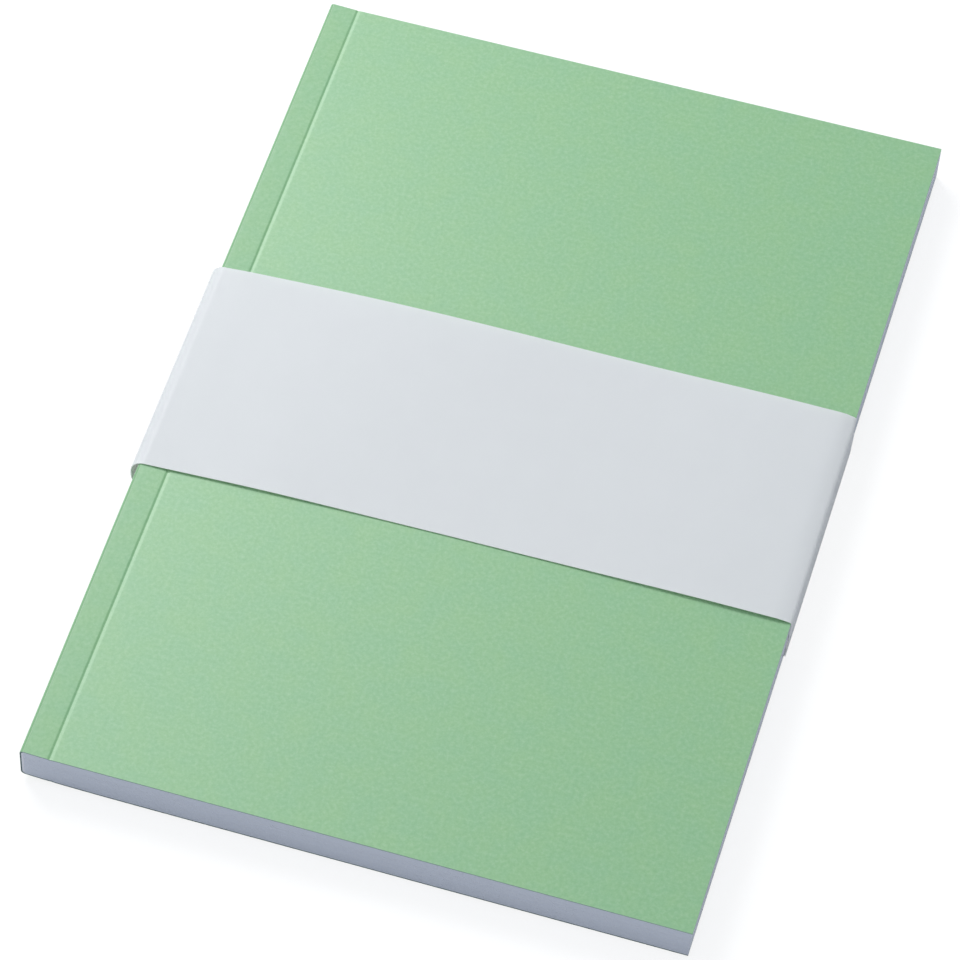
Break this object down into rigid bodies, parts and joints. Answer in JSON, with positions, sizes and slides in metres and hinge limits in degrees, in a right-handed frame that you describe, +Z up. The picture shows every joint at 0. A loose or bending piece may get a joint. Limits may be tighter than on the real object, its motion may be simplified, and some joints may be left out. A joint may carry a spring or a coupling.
{
  "type": "notepad",
  "caption": "Softcover A5 notepad with green card covers scored beside a flat glued spine, packs of plain leaves that turn, and a loose white paper band that slides off",
  "frame": {"origin": "middle of the notepad's footprint, on the underside of the band that it rests on", "axes": "+X from spine to fore-edge, +Y from tail to head, +Z up out of the front cover"},
  "size_m": [0.1514, 0.21, 0.0114],
  "materials": {
    "cover_card": "matte dyed green card with a fine fibre",
    "leaf_paper": "uncoated white writing paper, guillotined edges",
    "band_paper": "smooth white wrapping paper",
    "binding_glue": "cream hot-melt adhesive",
    "lap_glue": "thin dried paste"
  },
  "bodies": {
    "binding": {"cover_spine": "cover_card", "spine_glue": "binding_glue", "front_side_glue": "binding_glue", "back_side_glue": "binding_glue", "leaf_margins": "leaf_paper"},
    "front_cover": {"front_cover": "cover_card"},
    "back_cover": {"back_cover": "cover_card"},
    "leaves_01": {"leaves_01": "leaf_paper"},
    "leaves_02": {"leaves_02": "leaf_paper"},
    "leaves_03": {"leaves_03": "leaf_paper"},
    "leaves_04": {"leaves_04": "leaf_paper"},
    "leaves_05": {"leaves_05": "leaf_paper"},
    "leaves_06": {"leaves_06": "leaf_paper"},
    "leaves_07": {"leaves_07": "leaf_paper"},
    "leaves_08": {"leaves_08": "leaf_paper"},
    "leaves_09": {"leaves_09": "leaf_paper"},
    "leaves_10": {"leaves_10": "leaf_paper"},
    "leaves_11": {"leaves_11": "leaf_paper"},
    "leaves_12": {"leaves_12": "leaf_paper"},
    "leaves_13": {"leaves_13": "leaf_paper"},
    "leaves_14": {"leaves_14": "leaf_paper"},
    "leaves_15": {"leaves_15": "leaf_paper"},
    "leaves_16": {"leaves_16": "leaf_paper"},
    "leaves_17": {"leaves_17": "leaf_paper"},
    "leaves_18": {"leaves_18": "leaf_paper"},
    "leaves_19": {"leaves_19": "leaf_paper"},
    "leaves_20": {"leaves_20": "leaf_paper"},
    "leaves_21": {"leaves_21": "leaf_paper"},
    "leaves_22": {"leaves_22": "leaf_paper"},
    "leaves_23": {"leaves_23": "leaf_paper"},
    "leaves_24": {"leaves_24": "leaf_paper"},
    "band_spine": {"band_spine": "band_paper"},
    "band_front": {"band_front": "band_paper", "band_flap": "band_paper"},
    "band_back": {"band_back": "band_paper", "band_tab": "band_paper", "band_glue": "lap_glue"}
  },
  "joints": [
    {"name": "band_slide", "type": "slide", "parent": "binding", "child": "band_spine", "axis": [0, 1, 0], "range_m": [-0.135, 0.135]},
    {"name": "front_cover_hinge", "type": "hinge", "parent": "binding", "child": "front_cover", "pos_m": [-0.0672, 0, 0.01075], "axis": [0, -1, 0], "range_deg": [0, 165]},
    {"name": "back_cover_hinge", "type": "hinge", "parent": "binding", "child": "back_cover", "pos_m": [-0.0672, 0, 0.0002], "axis": [0, 1, 0], "range_deg": [0, 165]},
    {"name": "band_front_hinge", "type": "hinge", "parent": "band_spine", "child": "band_front", "pos_m": [-0.074, 0, 0.0114], "axis": [0, -1, 0], "range_deg": [0, 165]},
    {"name": "band_back_hinge", "type": "hinge", "parent": "band_spine", "child": "band_back", "pos_m": [-0.074, 0, 0], "axis": [0, 1, 0], "range_deg": [0, 165]},
    {"name": "leaves_01_hinge", "type": "hinge", "parent": "binding", "child": "leaves_01", "pos_m": [-0.0672, 0, 0.01075], "axis": [0, -1, 0], "range_deg": [0, 152.32]},
    {"name": "leaves_02_hinge", "type": "hinge", "parent": "binding", "child": "leaves_02", "pos_m": [-0.0672, 0, 0.01075], "axis": [0, -1, 0], "range_deg": [0, 139.63]},
    {"name": "leaves_03_hinge", "type": "hinge", "parent": "binding", "child": "leaves_03", "pos_m": [-0.0672, 0, 0.01075], "axis": [0, -1, 0], "range_deg": [0, 126.93]},
    {"name": "leaves_04_hinge", "type": "hinge", "parent": "binding", "child": "leaves_04", "pos_m": [-0.0672, 0, 0.01075], "axis": [0, -1, 0], "range_deg": [0, 114.24]},
    {"name": "leaves_05_hinge", "type": "hinge", "parent": "binding", "child": "leaves_05", "pos_m": [-0.0672, 0, 0.01075], "axis": [0, -1, 0], "range_deg": [0, 101.55]},
    {"name": "leaves_06_hinge", "type": "hinge", "parent": "binding", "child": "leaves_06", "pos_m": [-0.0672, 0, 0.01075], "axis": [0, -1, 0], "range_deg": [0, 88.86]},
    {"name": "leaves_07_hinge", "type": "hinge", "parent": "binding", "child": "leaves_07", "pos_m": [-0.0672, 0, 0.01075], "axis": [0, -1, 0], "range_deg": [0, 76.16]},
    {"name": "leaves_08_hinge", "type": "hinge", "parent": "binding", "child": "leaves_08", "pos_m": [-0.0672, 0, 0.01075], "axis": [0, -1, 0], "range_deg": [0, 63.47]},
    {"name": "leaves_09_hinge", "type": "hinge", "parent": "binding", "child": "leaves_09", "pos_m": [-0.0672, 0, 0.01075], "axis": [0, -1, 0], "range_deg": [0, 50.78]},
    {"name": "leaves_10_hinge", "type": "hinge", "parent": "binding", "child": "leaves_10", "pos_m": [-0.0672, 0, 0.01075], "axis": [0, -1, 0], "range_deg": [0, 38.09]},
    {"name": "leaves_11_hinge", "type": "hinge", "parent": "binding", "child": "leaves_11", "pos_m": [-0.0672, 0, 0.01075], "axis": [0, -1, 0], "range_deg": [0, 25.39]},
    {"name": "leaves_12_hinge", "type": "hinge", "parent": "binding", "child": "leaves_12", "pos_m": [-0.0672, 0, 0.01075], "axis": [0, -1, 0], "range_deg": [0, 12.7]},
    {"name": "leaves_13_hinge", "type": "hinge", "parent": "binding", "child": "leaves_13", "pos_m": [-0.0672, 0, 0.0002], "axis": [0, 1, 0], "range_deg": [0, 12.7]},
    {"name": "leaves_14_hinge", "type": "hinge", "parent": "binding", "child": "leaves_14", "pos_m": [-0.0672, 0, 0.0002], "axis": [0, 1, 0], "range_deg": [0, 25.39]},
    {"name": "leaves_15_hinge", "type": "hinge", "parent": "binding", "child": "leaves_15", "pos_m": [-0.0672, 0, 0.0002], "axis": [0, 1, 0], "range_deg": [0, 38.09]},
    {"name": "leaves_16_hinge", "type": "hinge", "parent": "binding", "child": "leaves_16", "pos_m": [-0.0672, 0, 0.0002], "axis": [0, 1, 0], "range_deg": [0, 50.78]},
    {"name": "leaves_17_hinge", "type": "hinge", "parent": "binding", "child": "leaves_17", "pos_m": [-0.0672, 0, 0.0002], "axis": [0, 1, 0], "range_deg": [0, 63.47]},
    {"name": "leaves_18_hinge", "type": "hinge", "parent": "binding", "child": "leaves_18", "pos_m": [-0.0672, 0, 0.0002], "axis": [0, 1, 0], "range_deg": [0, 76.16]},
    {"name": "leaves_19_hinge", "type": "hinge", "parent": "binding", "child": "leaves_19", "pos_m": [-0.0672, 0, 0.0002], "axis": [0, 1, 0], "range_deg": [0, 88.86]},
    {"name": "leaves_20_hinge", "type": "hinge", "parent": "binding", "child": "leaves_20", "pos_m": [-0.0672, 0, 0.0002], "axis": [0, 1, 0], "range_deg": [0, 101.55]},
    {"name": "leaves_21_hinge", "type": "hinge", "parent": "binding", "child": "leaves_21", "pos_m": [-0.0672, 0, 0.0002], "axis": [0, 1, 0], "range_deg": [0, 114.24]},
    {"name": "leaves_22_hinge", "type": "hinge", "parent": "binding", "child": "leaves_22", "pos_m": [-0.0672, 0, 0.0002], "axis": [0, 1, 0], "range_deg": [0, 126.93]},
    {"name": "leaves_23_hinge", "type": "hinge", "parent": "binding", "child": "leaves_23", "pos_m": [-0.0672, 0, 0.0002], "axis": [0, 1, 0], "range_deg": [0, 139.63]},
    {"name": "leaves_24_hinge", "type": "hinge", "parent": "binding", "child": "leaves_24", "pos_m": [-0.0672, 0, 0.0002], "axis": [0, 1, 0], "range_deg": [0, 152.32]}
  ],
  "couplings": [
    {"joint": "band_front_hinge", "follows": "front_cover_hinge", "ratio": 1},
    {"joint": "band_back_hinge", "follows": "back_cover_hinge", "ratio": 1},
    {"joint": "leaves_01_hinge", "follows": "front_cover_hinge", "ratio": 0.92308},
    {"joint": "leaves_02_hinge", "follows": "front_cover_hinge", "ratio": 0.84615},
    {"joint": "leaves_03_hinge", "follows": "front_cover_hinge", "ratio": 0.76923},
    {"joint": "leaves_04_hinge", "follows": "front_cover_hinge", "ratio": 0.69231},
    {"joint": "leaves_05_hinge", "follows": "front_cover_hinge", "ratio": 0.61538},
    {"joint": "leaves_06_hinge", "follows": "front_cover_hinge", "ratio": 0.53846},
    {"joint": "leaves_07_hinge", "follows": "front_cover_hinge", "ratio": 0.46154},
    {"joint": "leaves_08_hinge", "follows": "front_cover_hinge", "ratio": 0.38461},
    {"joint": "leaves_09_hinge", "follows": "front_cover_hinge", "ratio": 0.30769},
    {"joint": "leaves_10_hinge", "follows": "front_cover_hinge", "ratio": 0.23077},
    {"joint": "leaves_11_hinge", "follows": "front_cover_hinge", "ratio": 0.15385},
    {"joint": "leaves_12_hinge", "follows": "front_cover_hinge", "ratio": 0.076923},
    {"joint": "leaves_13_hinge", "follows": "back_cover_hinge", "ratio": 0.076923},
    {"joint": "leaves_14_hinge", "follows": "back_cover_hinge", "ratio": 0.15385},
    {"joint": "leaves_15_hinge", "follows": "back_cover_hinge", "ratio": 0.23077},
    {"joint": "leaves_16_hinge", "follows": "back_cover_hinge", "ratio": 0.30769},
    {"joint": "leaves_17_hinge", "follows": "back_cover_hinge", "ratio": 0.38461},
    {"joint": "leaves_18_hinge", "follows": "back_cover_hinge", "ratio": 0.46154},
    {"joint": "leaves_19_hinge", "follows": "back_cover_hinge", "ratio": 0.53846},
    {"joint": "leaves_20_hinge", "follows": "back_cover_hinge", "ratio": 0.61538},
    {"joint": "leaves_21_hinge", "follows": "back_cover_hinge", "ratio": 0.69231},
    {"joint": "leaves_22_hinge", "follows": "back_cover_hinge", "ratio": 0.76923},
    {"joint": "leaves_23_hinge", "follows": "back_cover_hinge", "ratio": 0.84615},
    {"joint": "leaves_24_hinge", "follows": "back_cover_hinge", "ratio": 0.92308}
  ]
}
